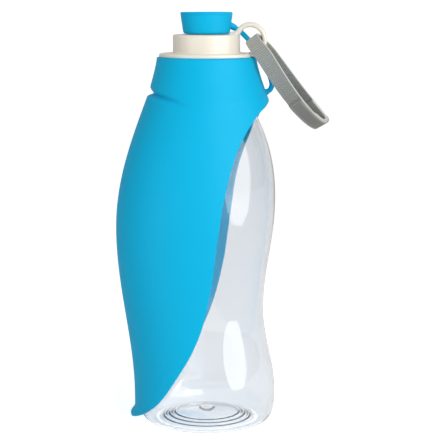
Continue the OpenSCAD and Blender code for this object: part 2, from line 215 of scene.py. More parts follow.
def add_object(name, points, faces, flat=()):
    """A smooth-shaded mesh object; flat names the faces that end in a sharp edge."""
    mesh = bpy.data.meshes.new(name)
    mesh.from_pydata([tuple(p) for p in points], [], faces)
    mesh.update()
    mesh.shade_smooth()
    for index in flat:
        mesh.polygons[index].use_smooth = False
    piece = bpy.data.objects.new(name, mesh)
    bpy.context.scene.collection.objects.link(piece)
    return piece


def face_outward(piece, merge=True):
    """Turns normals outward; merge first joins points that fall together and drops slivers."""
    work = bmesh.new()
    work.from_mesh(piece.data)
    if merge:
        bmesh.ops.remove_doubles(work, verts=work.verts, dist=SAME_POINT)
        bmesh.ops.dissolve_degenerate(work, edges=work.edges, dist=NO_LENGTH)
    bmesh.ops.recalc_face_normals(work, faces=work.faces)
    work.to_mesh(piece.data)
    work.free()
    piece.data.update()
    return piece


def ring(centre, across, up, radius, sides):
    """Points of a circle round a centre, in the plane of two unit vectors."""
    turns = [360 * k / sides for k in range(sides)]
    return [centre + across * radius * cos(a) + up * radius * sin(a) for a in turns]


def bands(rows, size, closed=False, first=0):
    """Faces between neighbouring rows of points, each size long; closed joins the ends too."""
    faces = []
    for i in range(rows if closed else rows - 1):
        low, high = first + i * size, first + (i + 1) % rows * size
        for j in range(size):
            k = (j + 1) % size
            faces.append([low + j, low + k, high + k, high + j])
    return faces


def rod(rows, size, first=0):
    """Faces of a rod: the bands between its rows of points, then a face at each end."""
    last = first + (rows - 1) * size
    ends = [list(range(at, at + size)) for at in (first, last)]
    return bands(rows, size, first=first) + ends


def fillet(corners, steps=5, support=0.12 * MM):
    """Rounds an outline. Each corner is (r, z) or (r, z, radius)."""
    outline = []
    count = len(corners)
    for i, corner in enumerate(corners):
        here = Vector(corner[:2])
        radius = corner[2] if len(corner) > 2 else 0.0
        if radius == 0.0:
            outline.append(here)
            continue
        before = (Vector(corners[i - 1][:2]) - here).normalized()
        after = (Vector(corners[(i + 1) % count][:2]) - here).normalized()
        half = before.angle(after) / 2
        reach = radius / math.tan(half)
        centre = here + (before + after).normalized() * radius / math.sin(half)
        start, end = here + before * reach, here + after * reach
        outline.append(start + before * support)
        for k in range(steps + 1):
            arm = (start - centre).normalized().slerp((end - centre).normalized(), k / steps)
            outline.append(centre + arm * radius)
        outline.append(end + after * support)
    return outline


def lathe(name, outline, segments=160):
    """Turns a closed outline of (r, z) points about the Z axis."""
    points, rings, faces = [], [], []
    turns = [360 * k / segments for k in range(segments)]
    for r, z in outline:
        first = len(points)
        if r < ON_AXIS:
            rings.append([first] * segments)
            points.append((0, 0, z))
        else:
            rings.append(list(range(first, first + segments)))
            points += [(r * cos(a), r * sin(a), z) for a in turns]
    for a, b in zip(rings, rings[1:] + rings[:1]):
        if a[0] == a[1] and b[0] == b[1]:
            continue
        for k in range(segments):
            n = (k + 1) % segments
            corner = [a[k], a[n], b[n], b[k]]
            faces.append([v for j, v in enumerate(corner) if v != corner[j - 1]])
    return face_outward(add_object(name, points, faces))


def curve_through(points, steps):
    """A smooth curve through points, with so many steps from one to the next."""
    path = []
    last = len(points) - 1
    for i in range(last):
        before, a = points[max(i - 1, 0)], points[i]
        b, after = points[i + 1], points[min(i + 2, last)]
        for k in range(steps):
            t = k / steps
            place = 2 * a + (b - before) * t
            place += (2 * before - 5 * a + 4 * b - after) * t * t
            place += (3 * a - before - 3 * b + after) * t * t * t
            path.append(0.5 * place)
    return path + [points[last]]


def tube(name, path, radius, sides=24, up=Vector((0, 1, 0))):
    """A round bar along a path in a plane; radius is a function of the share along it."""
    points = []
    last = len(path) - 1
    for i, place in enumerate(path):
        heading = (path[min(i + 1, last)] - path[max(i - 1, 0)]).normalized()
        points += ring(place, heading.cross(up).normalized(), up, radius(i / last), sides)
    faces = rod(len(path), sides)
    return face_outward(add_object(name, points, faces, flat=(len(faces) - 1, len(faces) - 2)))


def finish(piece, material, slot, *nodes):
    """Gives a piece its material and hides the CAD nodes that it stands for; slot is not used."""
    piece.data.materials.append(material)
    if nodes:
        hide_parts(*nodes)


# ---- Shared effects --------------------------------------------------------------------


def feed(tree, socket, value):
    """Links another socket to this one, or sets its value; a colour gets its alpha."""
    if isinstance(value, bpy.types.NodeSocket):
        tree.links.new(value, socket)
    elif socket.type == "RGBA":
        socket.default_value = (*value[:3], 1.0)
    else:
        socket.default_value = value


def feed_all(tree, node, **values):
    """Feeds a node's sockets by name, with _ for a space."""
    for name, value in values.items():
        feed(tree, node.inputs[name.replace("_", " ")], value)
    return node


def add(tree, kind, **values):
    """A new node with its sockets fed."""
    return feed_all(tree, tree.nodes.new(kind), **values)


def noise(tree, vector, scale, detail, roughness=0.55):
    """Value of a noise texture, from 0 to 1."""
    node = add(
        tree, "ShaderNodeTexNoise", Vector=vector, Scale=scale, Detail=detail, Roughness=roughness
    )
    return node.outputs["Fac"]


def maths(tree, operation, a, b=None, clamp=False):
    """Result of a sum with sockets or numbers."""
    node = tree.nodes.new("ShaderNodeMath")
    node.operation, node.use_clamp = operation, clamp
    for socket, value in zip(node.inputs, (a, b)):
        if value is not None:
            feed(tree, socket, value)
    return node.outputs[0]


def mix_colour(tree, share, a, b):
    """Colour between a and b; a share of 0 gives a."""
    node = tree.nodes.new("ShaderNodeMix")
    node.data_type = "RGBA"
    for index, value in ((0, share), (6, a), (7, b)):
        feed(tree, node.inputs[index], value)
    return node.outputs[2]


def shaded(tree, tone, value):
    """A colour made lighter or darker; a value of 1 leaves it as it is."""
    return add(tree, "ShaderNodeHueSaturation", Color=tone, Value=value).outputs["Color"]


def bump(tree, height, distance, strength):
    """Normal of a surface raised by a height."""
    node = add(tree, "ShaderNodeBump", Height=height, Distance=distance, Strength=strength)
    return node.outputs["Normal"]


def moulded_surface(tree, source, result):
    """Slow drift of tone, fine grain and faint handling marks."""
    slow = maths(tree, "SUBTRACT", noise(tree, source["Vector"], 38.0, 3.0), 0.5)
    lighter = maths(tree, "ADD", maths(tree, "MULTIPLY", slow, source["Drift"]), 1.0)
    feed(tree, result["Color"], shaded(tree, source["Color"], lighter))
    smear = maths(tree, "SUBTRACT", noise(tree, source["Vector"], 130.0, 5.0, 0.7), 0.5)
    marks = maths(tree, "MULTIPLY", smear, source["Marks"])
    feed(tree, result["Roughness"], maths(tree, "ADD", source["Roughness"], marks))
    feed(tree, result["Height"], noise(tree, source["Vector"], source["Grain Scale"], 2.0))


def dust_film(tree, source, result):
    """Pale lint that settles where a mask of noise is high."""
    cloud = noise(tree, source["Vector"], 60.0, 6.0, 0.75)
    specks = noise(tree, source["Vector"], 900.0, 2.0)
    mask = maths(tree, "MULTIPLY", maths(tree, "SUBTRACT", cloud, 0.45, clamp=True), specks)
    mask = maths(tree, "MULTIPLY", mask, source["Amount"], clamp=True)
    feed(tree, result["Color"], mix_colour(tree, mask, source["Color"], source["Dust Color"]))


def woven_yarn(tree, source, result):
    """Threads along and across; the colour is lighter on the crowns and darker in the gaps, as
    painted highlight and painted shade.
    """
    parts = add(tree, "ShaderNodeSeparateXYZ", Vector=source["Vector"]).outputs

    def wave(socket, rate):
        turn = maths(tree, "MULTIPLY", maths(tree, "MULTIPLY", socket, rate), 2 * math.pi)
        return maths(tree, "ADD", maths(tree, "MULTIPLY", maths(tree, "SINE", turn), 0.5), 0.5)

    along, across = wave(parts["X"], source["Along"]), wave(parts["Y"], source["Across"])
    cross = maths(tree, "ABSOLUTE", maths(tree, "SUBTRACT", along, across))
    fuzz = noise(tree, source["Vector"], 2600.0, 3.0, 0.7)
    crowns = maths(tree, "MULTIPLY", cross, 0.35)
    ribs = maths(tree, "ADD", crowns, maths(tree, "MULTIPLY", along, 0.4))
    height = maths(tree, "ADD", ribs, maths(tree, "MULTIPLY", fuzz, 0.35))
    feed(tree, result["Height"], height)
    # The colour follows the height: painted highlight on the crowns, painted shade in the gaps.
    light = maths(tree, "MULTIPLY", maths(tree, "SUBTRACT", height, 0.55), source["Contrast"])
    feed(tree, result["Color"], shaded(tree, source["Color"], maths(tree, "ADD", light, 1.0)))


MID_GREY = (0.5, 0.5, 0.5, 1.0)
# Each effect: what links it up, its inputs with their defaults, and its outputs
EFFECTS = {
    "Moulded Surface": (
        moulded_surface,
        {
            "Vector": None,
            "Color": MID_GREY,
            "Drift": 0.05,
            "Grain Scale": 1800.0,
            "Roughness": 0.45,
            "Marks": 0.06,
        },
        ("Color", "Roughness", "Height"),
    ),
    "Dust Film": (
        dust_film,
        {"Vector": None, "Color": MID_GREY, "Dust Color": (0.75, 0.76, 0.77, 1.0), "Amount": 0.1},
        ("Color",),
    ),
    "Woven Yarn": (
        woven_yarn,
        {"Vector": None, "Color": MID_GREY, "Along": 900.0, "Across": 900.0, "Contrast": 0.4},
        ("Color", "Height"),
    ),
}


def shared_effect(name):
    """The node group of an effect, made on first use."""
    if name in bpy.data.node_groups:
        return bpy.data.node_groups[name]
    link_up, inputs, outputs = EFFECTS[name]
    tree = bpy.data.node_groups.new(name, "ShaderNodeTree")
    for socket, default in inputs.items():
        kind = "NodeSocket" + {float: "Float", tuple: "Color"}.get(type(default), "Vector")
        made = tree.interface.new_socket(socket, in_out="INPUT", socket_type=kind)
        if default is not None:
            made.default_value = default
    for socket in outputs:
        kind = "NodeSocket" + ("Color" if socket == "Color" else "Float")
        tree.interface.new_socket(socket, in_out="OUTPUT", socket_type=kind)
    source, result = tree.nodes.new("NodeGroupInput"), tree.nodes.new("NodeGroupOutput")
    link_up(tree, source.outputs, result.inputs)
    return tree


def place(tree, name, **values):
    """Puts a shared effect into a material with its own values."""
    node = tree.nodes.new("ShaderNodeGroup")
    node.node_tree = shared_effect(name)
    return feed_all(tree, node, **values).outputs


# ---- Materials -------------------------------------------------------------------------

# Threads a metre along and across the plain webbing, and how strongly their painted highlight and
# shade show
FINE_WEAVE = (1300.0, 2200.0, 0.35)
RIBBED_THREADS = 1000.0
# Share of the webbing's width where the painted highlight along its edges starts, and how sharply
# it does
EDGE_HIGHLIGHT_START = 0.455
EDGE_HIGHLIGHT_SHARPNESS = 4000.0
# One over the length of the painted shadow where a band begins
END_SHADOW_SHARPNESS = 2200.0


def kept(name, make, *values):
    """The material of that name, made on first use."""
    return bpy.data.materials.get(name) or make(name, *values)


def new_material(name):
    """An empty node material with its Principled shader."""
    material = bpy.data.materials.new(name)
    material.use_nodes = True
    tree = material.node_tree
    return material, tree, tree.nodes["Principled BSDF"]


def moulded(name, tone, surface, relief, dust=0.0, specular=0.5):
    """A moulded material; surface is its drift, grain, roughness and marks, relief its bump."""
    material, tree, shader = new_material(name)
    spot = add(tree, "ShaderNodeTexCoord").outputs["Object"]
    values = dict(zip(("Drift", "Grain_Scale", "Roughness", "Marks"), surface))
    skin = place(tree, "Moulded Surface", Vector=spot, Color=tone, **values)
    shown = skin["Color"]
    if dust:
        shown = place(tree, "Dust Film", Vector=spot, Color=shown, Amount=dust)["Color"]
    feed_all(
        tree,
        shader,
        Base_Color=shown,
        Roughness=skin["Roughness"],
        Specular_IOR_Level=specular,
        Normal=bump(tree, skin["Height"], *relief),
    )
    return material


def soft_silicone(name):
    """Blue silicone: satin, finely blasted, with a breath of dust."""
    tone = bpy.context.scene.bottle_sleeve.silicone
    return moulded(name, tone, (0.05, 2400.0, 0.55, 0.1), (0.00005, 0.35), 0.015, 0.1)


def cap_plastic(name):
    """Cream plastic: moulded, semi-gloss, with faint flow marks."""
    tone = bpy.context.scene.bottle_cap.plastic
    return moulded(name, tone, (0.06, 3000.0, 0.3, 0.14), (0.00003, 0.25), 0.12)


def seal_rubber(name):
    """White sealing ring: matte rubber."""
    tone = bpy.context.scene.bottle_cap.seal
    return moulded(name, tone, (0.08, 2000.0, 0.65, 0.1), (0.00005, 0.3))


def sewing_thread(name):
    """Sewing thread: pale grey, twisted."""
    tone = tuple(1.35 * c for c in bpy.context.scene.bottle_strap.yarn)
    return moulded(name, tone, (0.3, 4000.0, 0.6, 0.2), (0.0001, 0.5))


def clear_plastic(name):
    """Clear plastic: thin blown wall, faintly wavy, with painted shade along its outline; lamps
    shine through it.
    """
    material, tree, shader = new_material(name)
    spot = add(tree, "ShaderNodeTexCoord").outputs["Object"]
    tint = tuple(bpy.context.scene.bottle_body.tint)
    # Towards the outline, where the wall turns away from the camera, the colour darkens: painted
    # shade.
    painted_edge_shade = tuple(0.7 * c for c in tint)
    facing = add(tree, "ShaderNodeLayerWeight").outputs["Facing"]
    stretch = add(tree, "ShaderNodeMapping", Scale=(1.0, 1.0, 0.22), Vector=spot)
    waves = noise(tree, stretch.outputs["Vector"], 55.0, 2.0, 0.4)
    feed_all(
        tree,
        shader,
        Base_Color=mix_colour(tree, maths(tree, "POWER", facing, 6.0), tint, painted_edge_shade),
        Roughness=0.03,
        IOR=1.46,
        Transmission_Weight=1.0,
        Normal=bump(tree, waves, 0.0006, 0.18),
    )
    shadow = add(tree, "ShaderNodeLightPath").outputs["Is Shadow Ray"]
    through = add(tree, "ShaderNodeBsdfTransparent", Color=(0.95, 0.955, 0.965))
    mixed = tree.nodes.new("ShaderNodeMixShader")
    for socket, value in zip(mixed.inputs, (shadow, shader.outputs[0], through.outputs[0])):
        feed(tree, socket, value)
    feed_all(tree, tree.nodes["Material Output"], Surface=mixed.outputs[0])
    return material


def webbing_cloth(name, along, across, painted_shading, lift=1.0, painted_end_shadow=False):
    """Grey webbing: yarn threads with painted highlight and shade in the weave, a painted highlight
    along both edges, and on request a painted shadow where the band begins.
    """
    material, tree, shader = new_material(name)
    s = bpy.context.scene.bottle_strap
    uv = add(tree, "ShaderNodeUVMap").outputs["UV"]
    # lift makes a piece's yarn lighter or darker than the strap's: painted light or painted shade.
    yarn = tuple(lift * c for c in s.yarn)
    weave = dict(Along=along, Across=across, Contrast=painted_shading)
    woven = place(tree, "Woven Yarn", Vector=uv, Color=yarn, **weave)
    parts = add(tree, "ShaderNodeSeparateXYZ", Vector=uv).outputs
    # A painted highlight along both edges of the webbing.
    edge = maths(tree, "ABSOLUTE", parts["Y"])
    edge = maths(tree, "SUBTRACT", edge, s.width * EDGE_HIGHLIGHT_START)
    edge = maths(tree, "MULTIPLY", edge, EDGE_HIGHLIGHT_SHARPNESS, clamp=True)
    pale = tuple(min(1.9 * c, 0.7) for c in yarn)
    with_painted_light = mix_colour(tree, maths(tree, "MULTIPLY", edge, 0.75), woven["Color"], pale)
    # A painted shadow darkens the first stretch of the band's length.
    if painted_end_shadow:
        far = maths(tree, "MULTIPLY", parts["X"], END_SHADOW_SHARPNESS, clamp=True)
        end_shadow_share = maths(tree, "SUBTRACT", 1.0, far)
        with_painted_light = mix_colour(tree, end_shadow_share, with_painted_light, tuple(0.25 * c for c in yarn))
    feed_all(
        tree,
        shader,
        Base_Color=place(tree, "Dust Film", Vector=uv, Color=with_painted_light, Amount=0.35)["Color"],
        Roughness=0.72,
        Sheen_Weight=0.25,
        Sheen_Roughness=0.4,
        Specular_IOR_Level=0.3,
        Normal=bump(tree, woven["Height"], 0.00015, 0.6),
    )
    return material


# ---- Bottle ----------------------------------------------------------------------------

SHOULDER_POWER = 2.3
BASE_POWER = 2.9
DOME_POWER = 2.2
# The flat of the foot ring, inward from the foot radius
FOOT_FLAT = (1.2 * MM, 0.3 * MM)
# Moulded rings under the dome, and the pip at its middle
RINGS_FROM, RINGS_TO = 15 * MM, 24.4 * MM
RING_PITCH, RING_H = 3 * MM, 0.3 * MM
PIP_R, PIP_H = 3.6 * MM, 1.2 * MM
NECK_WALL = 2.1 * MM
THREAD_DEPTH, THREAD_PLAY = 0.8 * MM, 0.1 * MM
THREAD_PITCH, THREAD_TURNS = 4 * MM, 1.75
# The thread fades in and out over one part in so many of its length
THREAD_FADE = 8


def bottle_radius(s, z):
    """Outer radius of the bottle's body at height z."""
    if z < s.waist_z:
        return between(s.bulge_r, s.waist_r, (z - s.bulge_z) / (s.waist_z - s.bulge_z))
    if z < s.shoulder_z:
        return between(s.waist_r, s.shoulder_r, (z - s.waist_z) / (s.shoulder_z - s.waist_z))
    share = (z - s.shoulder_z) / (s.neck_z - s.shoulder_z)
    return s.shoulder_r - (s.shoulder_r - s.neck_r) * share**SHOULDER_POWER


def base_underside(s, lift, steps=52):
    """The dome in the base; without lift it is the outside, with its rings and its pip."""
    profile = []
    for i in range(steps + 1):
        r = s.dome_r * i / steps
        z = s.dome_h * (1 - (r / s.dome_r) ** DOME_POWER)
        if lift == 0:
            within = smooth((r - RINGS_FROM) / (2 * MM)) * (1 - smooth((r - RINGS_TO) / MM))
            z += RING_H * within * cos(360 * (r - RINGS_FROM) / RING_PITCH)
            z -= PIP_H * (1 - smooth((r - PIP_R + 0.5 * MM) / MM))
        profile.append((r, z + lift))
    return profile


def body_side(s, inset, foot_steps=18, steps=96):
    """The body's side, from the foot ring to where the shoulder meets the neck."""
    profile = []
    share = 2 / BASE_POWER
    for i in range(1, foot_steps + 1):
        a = 90 * i / foot_steps
        r = s.foot_r + (s.bulge_r - inset - s.foot_r) * sin(a) ** share
        profile.append((r, s.bulge_z - (s.bulge_z - inset) * max(cos(a), 0) ** share))
    for i in range(1, steps + 1):
        z = s.bulge_z + (s.neck_z - s.bulge_z) * i / steps
        profile.append((max(bottle_radius(s, z), s.neck_r) - inset, z))
    return profile


def neck_thread(bottom, inner, outer, steps=200):
    """The neck's screw thread: one ridge that fades in and out at its ends."""
    points = []
    root = inner - 0.3 * MM
    for i in range(steps + 1):
        share = i / steps
        a = 360 * THREAD_TURNS * share
        z = bottom + THREAD_PITCH * THREAD_TURNS * share
        crest = inner + (outer - inner) * smooth(share * THREAD_FADE)
        crest = inner + (crest - inner) * smooth((1 - share) * THREAD_FADE)
        for r, up in ((root, -0.9), (crest, -0.3), (crest, 0.3), (root, 0.9)):
            points.append((r * cos(a), r * sin(a), z + up * MM))
    return face_outward(add_object("neck_thread", points, rod(steps + 1, 4)))


class BuildBottle(bpy.types.Operator):
    """Build the clear bottle with its moulded base, neck ring and screw thread"""

    bl_idname = "water_bottle.bottle"
    bl_label = "Bottle"

    def execute(self, context):
        s = context.scene.bottle_body
        sleeve = context.scene.bottle_sleeve
        plastic = kept("blown_clear_plastic", clear_plastic)
        ring_top = sleeve.top_z - sleeve.disc_t
        neck_top = sleeve.top_z + s.finish_h
        neck_r = s.neck_r - THREAD_DEPTH - THREAD_PLAY
        bore_r = s.neck_r - NECK_WALL
        outline = base_underside(s, 0) + [(s.foot_r - step, 0.0) for step in FOOT_FLAT]
        outline += body_side(s, 0)
        outline += fillet(
            [
                (s.neck_r, ring_top - s.ledge_h, 0.5 * MM),
                (s.ledge_r, ring_top - s.ledge_h, 0.5 * MM),
                (s.ledge_r, ring_top, 0.5 * MM),
                (neck_r, ring_top, 0.4 * MM),
                (neck_r, neck_top, 0.5 * MM),
                (bore_r, neck_top, 0.4 * MM),
                (bore_r, s.neck_z, 0.4 * MM),
            ]
        )[1:]
        inside = [p for p in body_side(s, s.wall) if p[0] > bore_r and p[1] < s.neck_z - MM]
        outline += inside[::-1] + base_underside(s, 1.5 * s.wall)[::-1]
        shell = lathe("bottle_shell", outline, 200)
        finish(shell, plastic, "clear_plastic", "bottle")
        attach(shell, "bottle")
        ridge = neck_thread(sleeve.top_z + 1.2 * MM, neck_r, s.neck_r - THREAD_PLAY)
        finish(ridge, plastic, "clear_plastic")
        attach(ridge, "bottle")
        return {"FINISHED"}


# ---- Sleeve and leaf -------------------------------------------------------------------
# Round the bottle, phi runs from 0 at the front of the skirt (+X) to 180 at the spine.

SKIRT_POWER = 1.3
# The leaf lies a little askew, so that its far edge (+Y) comes further forward
EDGE_NEAR = (
    (0, 1), (23, 0.985), (41, 0.958), (58, 0.898), (70, 0.813), (78.4, 0.693),
    (82.4, 0.587), (87, 0.453), (95, 0.307), (111.5, 0.18), (137, 0.062), (180, 0),
)
EDGE_FAR = (
    (0, 1), (20, 0.985), (33, 0.955), (46, 0.895), (57, 0.83), (66.3, 0.735),
    (72.3, 0.592), (77, 0.462), (86.5, 0.316), (104, 0.167), (134, 0.056), (180, 0),
)
# The leaf's three bend lines: place on the spine (x, z) and slope of the seam plane, with
# how far the bending stretch reaches above and below that plane
BENDS = (
    ("bottle", "leaf_upper", -29.3265 * MM, 177 * MM, 1.25, 5 * MM, 18 * MM),
    ("leaf_upper", "leaf_middle", -49.0914 * MM, 112 * MM, 0.46, 11 * MM, 16 * MM),
    ("leaf_middle", "leaf_tip", -44.2035 * MM, 56 * MM, 0.38, 16 * MM, 16 * MM),
)
# Where one skin ends and the next begins, between the bends: x, z and slope
SKIN_JOINS = ((-48.5 * MM, 140 * MM, 0.73), (-47 * MM, 84 * MM, 0.42))
# The three skins: name, CAD nodes, and rows of faces as (height where they end, count)
SKINS = (
    ("sleeve_skin", ("sleeve_collar", "leaf_upper"), ((182 * MM, 14), (163 * MM, 60), (0, 60))),
    ("leaf_skin_middle", ("leaf_middle",), ((0, 60),)),
    ("leaf_skin_tip", ("leaf_tip",), ((0, 90),)),
)
# Width of the fold line above and below its middle, and how it deepens at the flanks
CREASE_ABOVE, CREASE_BELOW = 2.0 * MM, 0.85 * MM
CREASE_DEEPER = 0.55
LIP_UP, LIP_SPREAD = 1 * MM, 2.2 * MM
RIM_STEPS = 5
# A skin whose end is this close to the free edge has that edge's rounding
SAME_HEIGHT = 0.01 * MM
# Degrees within which the free edge's direction is taken, and kept clear of its turning points
EDGE_REACH, EDGE_CLEAR = 0.3, 0.4


def sleeve_curve(s, z, skirt, belly, tail):
    """Distance from the axis at height z, from its values at the skirt, belly and tail."""
    if z > s.skirt_z:
        share = max(s.top_z - z, 0) / (s.top_z - s.skirt_z)
        return s.top_r + (skirt - s.top_r) * share**SKIRT_POWER
    if z > s.belly_z:
        return skirt + (belly - skirt) * sin(90 * (s.skirt_z - z) / (s.skirt_z - s.belly_z))
    if z > s.tail_z:
        return between(belly, tail, (s.belly_z - z) / (s.belly_z - s.tail_z))
    return tail


def crease(s, phi, z):
    """Depth of the fold line: steep below, softer above, fading out towards the flanks."""
    line = s.crease_z - s.crease_drop * (1 + cos(phi))
    width = CREASE_ABOVE if z > line else CREASE_BELOW
    fade = smooth((-cos(phi) - 0.05) / 0.55)
    deeper = 1 + CREASE_DEEPER * sin(phi) ** 2
    return s.crease_d * deeper * math.exp(-(((z - line) / width) ** 2)) * fade


def lip(s, phi, z):
    """How far the lip at the leaf's tip turns out."""
    rise = math.exp(-(((z - s.tip_z - LIP_UP) / LIP_SPREAD) ** 2))
    return s.lip_out * rise * max(-cos(phi), 0) ** 4


def sleeve_x(s, phi, z):
    """Half the sleeve's reach along X on this side, with the fold line and the lip."""
    if cos(phi) < 0:
        back = sleeve_curve(s, z, s.skirt_spine_r, s.belly_spine_r, s.tail_spine_r)
        return back - crease(s, phi, z) + lip(s, phi, z)
    return sleeve_curve(s, z, s.skirt_front_r, s.belly_flank_r, s.tail_flank_r)


def sleeve_point(s, phi, z, inset=0.0):
    """A point of the sleeve's outside, or inset from it."""
    y = sleeve_curve(s, z, s.skirt_flank_r, s.belly_flank_r, s.tail_flank_r)
    return Vector(((sleeve_x(s, phi, z) - inset) * cos(phi), (y - inset) * sin(phi), z))


def folded(phi):
    """Angle from the front, whichever side of the bottle phi (0 to 360) is on."""
    return min(phi, 360 - phi)


def edge_height(s, phi):
    """Height of the leaf's free edge: a smooth curve through its table."""
    table = EDGE_FAR if phi <= 180 else EDGE_NEAR
    phi = folded(phi)
    i = max(k for k in range(len(table) - 1) if k == 0 or table[k][0] <= phi)

    def slope(k):
        if k in (0, len(table) - 1):
            return 0.0
        return (table[k + 1][1] - table[k - 1][1]) / (table[k + 1][0] - table[k - 1][0])

    width = table[i + 1][0] - table[i][0]
    t = (phi - table[i][0]) / width
    share = (
        (2 * t**3 - 3 * t**2 + 1) * table[i][1]
        + (t**3 - 2 * t**2 + t) * slope(i) * width
        + (3 * t**2 - 2 * t**3) * table[i + 1][1]
        + (t**3 - t**2) * slope(i + 1) * width
    )
    return s.tip_z + (s.edge_top_z - s.tip_z) * share


def join_height(s, join, phi):
    """Height at which the leaf meets a slanted plane, at angle phi."""
    x, z, slope = join
    height = z
    for _ in range(12):
        height = z - slope * (sleeve_x(s, phi, height) * cos(phi) - x)
    return height


def join_starts(s, join):
    """Angles at which a plane meets the far and the near free edge."""
    starts = []
    for far in (True, False):
        low, high = 50.0, 170.0
        for _ in range(40):
            middle = (low + high) / 2
            phi = middle if far else 360 - middle
            if join_height(s, join, phi) > edge_height(s, phi):
                high = middle
            else:
                low = middle
        starts.append(high)
    return starts


def column_angles(s, starts, far, count=118):
    """Angles from the front to the spine, closer together where the edge runs steeply."""
    fine = [180 * i / 2000 for i in range(2001)]
    reach = [0.0]
    for a, b in zip(fine, fine[1:]):
        ends = (a, b) if far else (360 - a - 1e-9, 360 - b - 1e-9)
        step = abs(edge_height(s, ends[1]) - edge_height(s, ends[0]))
        reach.append(reach[-1] + math.hypot(step, 0.9 * s.belly_flank_r * math.radians(b - a)))
    angles, k = [], 0
    for i in range(count + 1):
        wanted = reach[-1] * i / count
        while k < len(fine) - 1 and reach[k] < wanted:
            k += 1
        angles.append(fine[k])
    for start in starts:
        nearest = min(range(1, count), key=lambda n: abs(angles[n] - start))
        angles[nearest] = start
    return angles


def row_levels(high, low, rows):
    """Heights from high to low, with a hairline row at each end that keeps the shading flush.

    rows lists stretches as (height where it ends, number of rows); the last ends at low.
    """
    hair = min(0.02 * MM, (high - low) * 0.001)
    levels = [high, high - hair]
    start = high
    for stop, count in rows:
        end = max(stop, low + (start - low) * 0.3) if stop else low + hair
        levels += [start + (end - start) * j / count for j in range(1, count + 1)]
        start = end
    return levels + [low]


def rounded_rim(s, phi, outer, inner, bulge):
    """Points from the outside's last to the inside's last point, rounded by a bulge."""
    clear = min(phi % 180, 180 - phi % 180) > EDGE_CLEAR
    side = phi if clear else phi + EDGE_CLEAR
    ahead = sleeve_point(s, side + EDGE_REACH, edge_height(s, side + EDGE_REACH))
    ahead -= sleeve_point(s, side - EDGE_REACH, edge_height(s, side - EDGE_REACH))
    through = outer - inner
    out = ahead.cross(through).normalized()
    if out.z > 0:
        out = -out
    turns = [180 * k / (RIM_STEPS + 1) for k in range(1, RIM_STEPS + 1)]
    middle = (outer + inner) / 2
    return [middle + through / 2 * cos(a) + out * bulge * sin(a) for a in turns]


def leaf_skin(s, name, angles, ends, rows, closed):
    """A stretch of the sleeve with its thickness; ends has its top and bottom at each angle.

    Where the bottom is the free edge, it is rounded. A closed skin has the disc on top.
    """
    columns = []
    for phi, (high, low) in zip(angles, ends):
        under = high - s.disc_t if closed else high
        outer = [sleeve_point(s, phi, z) for z in row_levels(high, low, rows)]
        inner = [sleeve_point(s, phi, z, s.wall) for z in row_levels(under, low, rows)]
        bulge = s.rim_round if abs(low - edge_height(s, phi)) < SAME_HEIGHT else 0.0
        column = outer + rounded_rim(s, phi, outer[-1], inner[-1], bulge) + inner[::-1]
        if closed:
            hole = Vector((s.hole_r * cos(phi), s.hole_r * sin(phi), s.top_z))
            shoulder = outer[0].lerp(Vector((0, 0, s.top_z)), 0.5 * MM / s.top_r)
            corner = outer[0] - Vector((0, 0, 0.15 * MM))
            column = [hole - Vector((0, 0, s.disc_t)), hole, shoulder, corner] + column[2:]
        columns.append(column)
    points = [p for column in columns for p in column]
    faces = bands(len(columns), len(columns[0]), closed)
    return face_outward(add_object(name, points, faces))


class BuildSleeve(bpy.types.Operator):
    """Build the silicone sleeve: the collar and the long leaf, in three skins"""

    bl_idname = "water_bottle.sleeve"
    bl_label = "Sleeve and leaf"

    def execute(self, context):
        s = context.scene.bottle_sleeve
        silicone = kept("satin_silicone", soft_silicone)
        starts = [join_starts(s, join) for join in SKIN_JOINS]
        far = column_angles(s, [start[0] for start in starts], True)
        near = column_angles(s, [start[1] for start in starts], False)
        around = far + [360 - a for a in reversed(near[1:-1])]

        def below(phi, number):
            """Whether the leaf goes on below a join at this angle."""
            return folded(phi) >= starts[number][0 if phi <= 180 else 1] - 1e-6

        def bottom(phi, number):
            """Where a skin ends: at the next join, or at the free edge."""
            if number < len(SKIN_JOINS) and below(phi, number):
                return join_height(s, SKIN_JOINS[number], phi)
            return edge_height(s, phi)

        for number, ((name, nodes, rows), bend) in enumerate(zip(SKINS, BENDS)):
            above, under, x, z, slope, before, after = bend
            angles = [a for a in around if number == 0 or below(a, number - 1)]
            tops = [bottom(a, number - 1) if number else s.top_z for a in angles]
            ends = zip(tops, [bottom(a, number) for a in angles])
            skin = leaf_skin(s, name, angles, ends, rows, closed=number == 0)
            finish(skin, silicone, "blue_silicone", *nodes)
            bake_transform(skin)
        return {"FINISHED"}


# ---- Cap, seal, plug and tether --------------------------------------------------------

EYE_TURN = 20
EYE_LIFT = 0.25 * MM
# The eye's root in the cap: how far back from its neck and below it, and how thick there
ROOT_BACK, ROOT_DOWN, ROOT_SHARE = 1.7 * MM, 0.73 * MM, 0.55
# Angle at which the eye's ring ends, inside the flange
EYE_FOOT = -95
# Clearance between the cap, the neck and the plug, under the plug, and round the seal
PLAY, PLUG_GAP, SEAL_INSET = 0.05 * MM, 0.3 * MM, 0.3 * MM
STEM_LENGTH, PLUG_DISH = 6 * MM, 0.6 * MM
# The plug's rim line: how far it lies below the top, and half its height
LINE_DOWN, LINE_HALF = 1.5 * MM, 0.35 * MM
TETHER_Y = 1 * MM
# Route in millimetres (x, z), from inside the plug to inside the sleeve
TETHER_ROUTE = (
    (11.8, 213.4), (13.7, 212.4), (17.1, 210.3), (20.2, 207.6), (23.7, 203.6), (27.1, 199.2),
    (29.8, 194.6), (32.3, 189.4), (34, 184.9), (34.6, 181.8), (33.9, 179.4), (32.2, 178.1),
    (30.2, 177.3),
)
# Height where the length that hangs on the plug meets the one that hangs on the sleeve
TETHER_SPLIT = 197 * MM


def cap_heights(scene):
    """Underside and top of the cap's top plate, from the neck below."""
    cap = scene.bottle_cap
    under = scene.bottle_sleeve.top_z + scene.bottle_body.finish_h + cap.seal_t
    return under, under + cap.top_t


